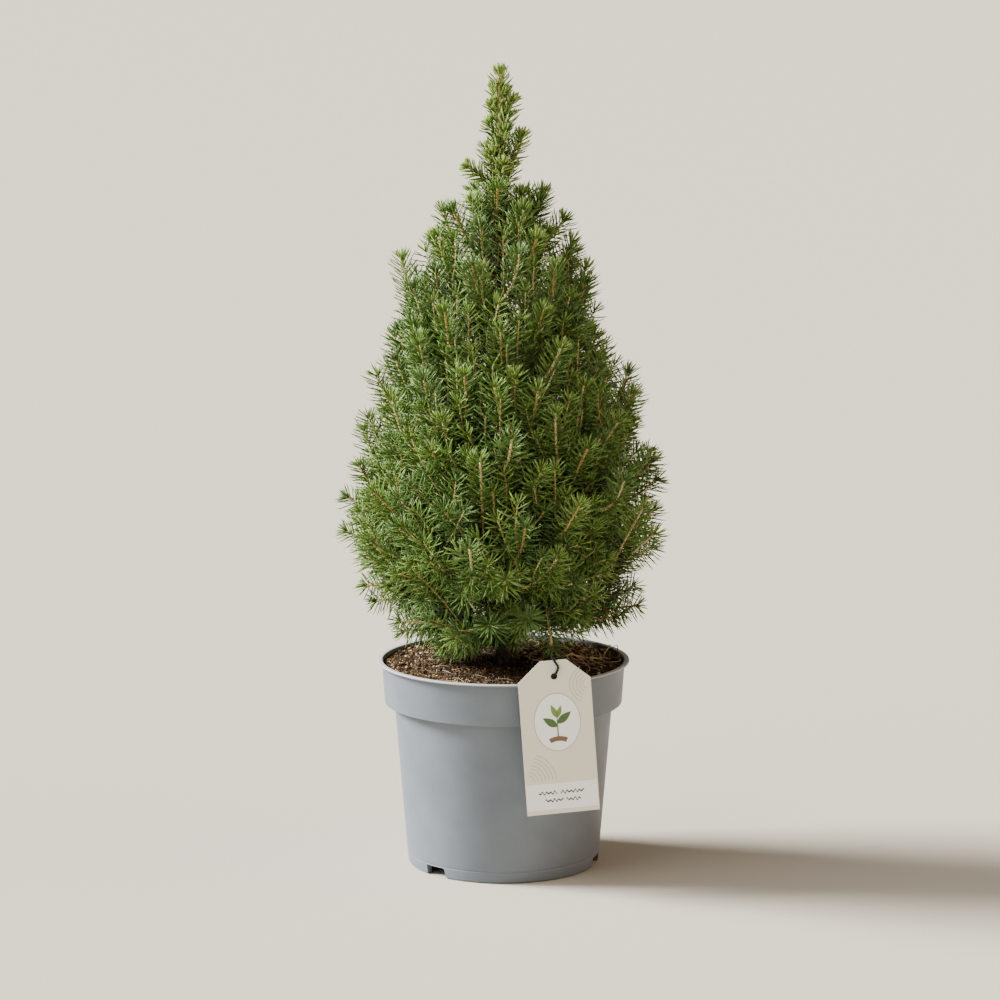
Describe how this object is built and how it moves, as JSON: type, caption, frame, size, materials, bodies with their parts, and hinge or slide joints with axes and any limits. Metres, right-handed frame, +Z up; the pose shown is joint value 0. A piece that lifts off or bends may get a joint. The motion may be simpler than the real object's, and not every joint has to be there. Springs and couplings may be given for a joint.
{
  "type": "potted alberta spruce",
  "caption": "Dwarf Alberta spruce: a dense, narrow cone of short needles on a slim trunk with rising boughs, in a grey nursery pot with a hang tag.",
  "frame": {"origin": "middle of the pot's flat underside, on the surface that the pot stands on", "axes": "+Z up the trunk, the side seen in the picture faces -Y, and +X is to the right in the picture"},
  "size_m": [0.2236, 0.2263, 0.5353],
  "materials": {
    "pot": "matte moulded polypropylene, cool grey",
    "potting_mix": "loose brown crumbs with coir fibres",
    "bark": "thin scaly brown bark, tan on the young limbs",
    "needles": "fresh green needles, lighter at the shoots' tips",
    "tag": "matte printed card, beige with a white band",
    "string": "thin black twine"
  },
  "bodies": {
    "root": {"pot": "pot", "potting_mix": "potting_mix", "trunk": "bark", "bough_01": "bark", "bough_02": "bark", "bough_03": "bark", "bough_04": "bark", "bough_05": "bark", "bough_06": "bark", "bough_07": "bark", "bough_08": "bark", "bough_09": "bark", "bough_10": "bark", "bough_11": "bark", "bough_12": "bark", "bough_13": "bark", "bough_14": "bark", "bough_15": "bark", "bough_16": "bark", "bough_17": "bark", "bough_18": "bark", "mass_01": "needles", "mass_02": "needles", "mass_03": "needles", "mass_04": "needles", "mass_05": "needles", "mass_06": "needles", "mass_07": "needles", "mass_08": "needles", "mass_09": "needles", "mass_10": "needles", "mass_11": "needles", "mass_12": "needles", "mass_13": "needles", "mass_14": "needles", "mass_15": "needles", "mass_16": "needles", "mass_17": "needles", "mass_18": "needles", "upper_mass_01": "needles", "upper_mass_02": "needles", "upper_mass_03": "needles", "upper_mass_04": "needles", "upper_mass_05": "needles", "upper_mass_06": "needles", "upper_mass_07": "needles", "upper_mass_08": "needles", "upper_mass_09": "needles", "upper_mass_10": "needles", "leader_mass": "needles", "tag": "tag", "tag_string": "string"}
  },
  "joints": []
}
